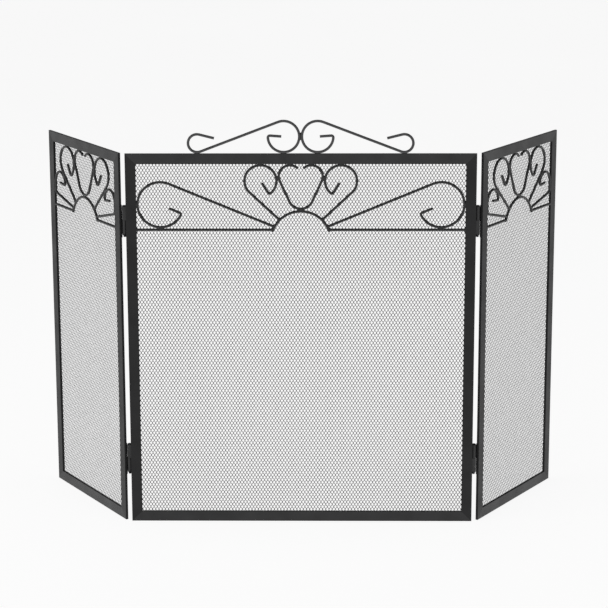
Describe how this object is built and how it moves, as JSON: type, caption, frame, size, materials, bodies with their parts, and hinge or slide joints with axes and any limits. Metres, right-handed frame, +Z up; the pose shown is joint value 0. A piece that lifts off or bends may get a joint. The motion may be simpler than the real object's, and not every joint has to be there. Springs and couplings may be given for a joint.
{
  "type": "fireplace screen",
  "caption": "Folding fireplace screen: a mesh panel in a flat-bar frame with scrolled rod ornament and crest, and narrower mesh wings hinged to its sides.",
  "frame": {"origin": "on the floor, midway across the width and the depth of the screen with its wings at their standing angle", "axes": "+Z up, +X to the right across the centre panel as seen from the front, +Y from the front towards the hearth, the way the wings fold"},
  "size_m": [0.8066, 0.2146, 0.631],
  "materials": {
    "frame": "satin black powder coat on mild steel flat bar",
    "scrollwork": "satin black powder coat on bent steel rod",
    "mesh": "black painted expanded steel mesh",
    "hinge": "black painted pressed steel hinge"
  },
  "bodies": {
    "centre_panel": {"centre_arch": "scrollwork", "centre_bottom_rail": "frame", "centre_left_crest_scroll": "scrollwork", "centre_left_crossbar": "scrollwork", "centre_left_heart_scroll": "scrollwork", "centre_left_large_scroll": "scrollwork", "centre_left_stile": "frame", "centre_mesh": "mesh", "centre_right_crest_scroll": "scrollwork", "centre_right_crossbar": "scrollwork", "centre_right_heart_scroll": "scrollwork", "centre_right_large_scroll": "scrollwork", "centre_right_stile": "frame", "centre_top_rail": "frame", "centre_tulip": "scrollwork", "lower_left_hinge_centre_leaf": "hinge", "lower_left_hinge_pin": "hinge", "lower_right_hinge_centre_leaf": "hinge", "lower_right_hinge_pin": "hinge", "upper_left_hinge_centre_leaf": "hinge", "upper_left_hinge_pin": "hinge", "upper_right_hinge_centre_leaf": "hinge", "upper_right_hinge_pin": "hinge"},
    "left_wing": {"left_wing_arch": "scrollwork", "left_wing_bottom_rail": "frame", "left_wing_inner_crossbar": "scrollwork", "left_wing_inner_heart_scroll": "scrollwork", "left_wing_inner_side_scroll": "scrollwork", "left_wing_inner_stile": "frame", "left_wing_mesh": "mesh", "left_wing_outer_crossbar": "scrollwork", "left_wing_outer_heart_scroll": "scrollwork", "left_wing_outer_side_scroll": "scrollwork", "left_wing_outer_stile": "frame", "left_wing_top_rail": "frame", "left_wing_tulip": "scrollwork", "lower_left_hinge_wing_leaf": "hinge", "upper_left_hinge_wing_leaf": "hinge"},
    "right_wing": {"lower_right_hinge_wing_leaf": "hinge", "right_wing_arch": "scrollwork", "right_wing_bottom_rail": "frame", "right_wing_inner_crossbar": "scrollwork", "right_wing_inner_heart_scroll": "scrollwork", "right_wing_inner_side_scroll": "scrollwork", "right_wing_inner_stile": "frame", "right_wing_mesh": "mesh", "right_wing_outer_crossbar": "scrollwork", "right_wing_outer_heart_scroll": "scrollwork", "right_wing_outer_side_scroll": "scrollwork", "right_wing_outer_stile": "frame", "right_wing_top_rail": "frame", "right_wing_tulip": "scrollwork", "upper_right_hinge_wing_leaf": "hinge"}
  },
  "joints": [
    {"name": "left_wing_fold", "type": "hinge", "parent": "centre_panel", "child": "left_wing", "pos_m": [-0.2665, -0.09975, 0], "axis": [0, 0, -1], "range_deg": [-92, 122]},
    {"name": "right_wing_fold", "type": "hinge", "parent": "centre_panel", "child": "right_wing", "pos_m": [0.2665, -0.09975, 0], "axis": [0, 0, 1], "range_deg": [-92, 122]}
  ]
}
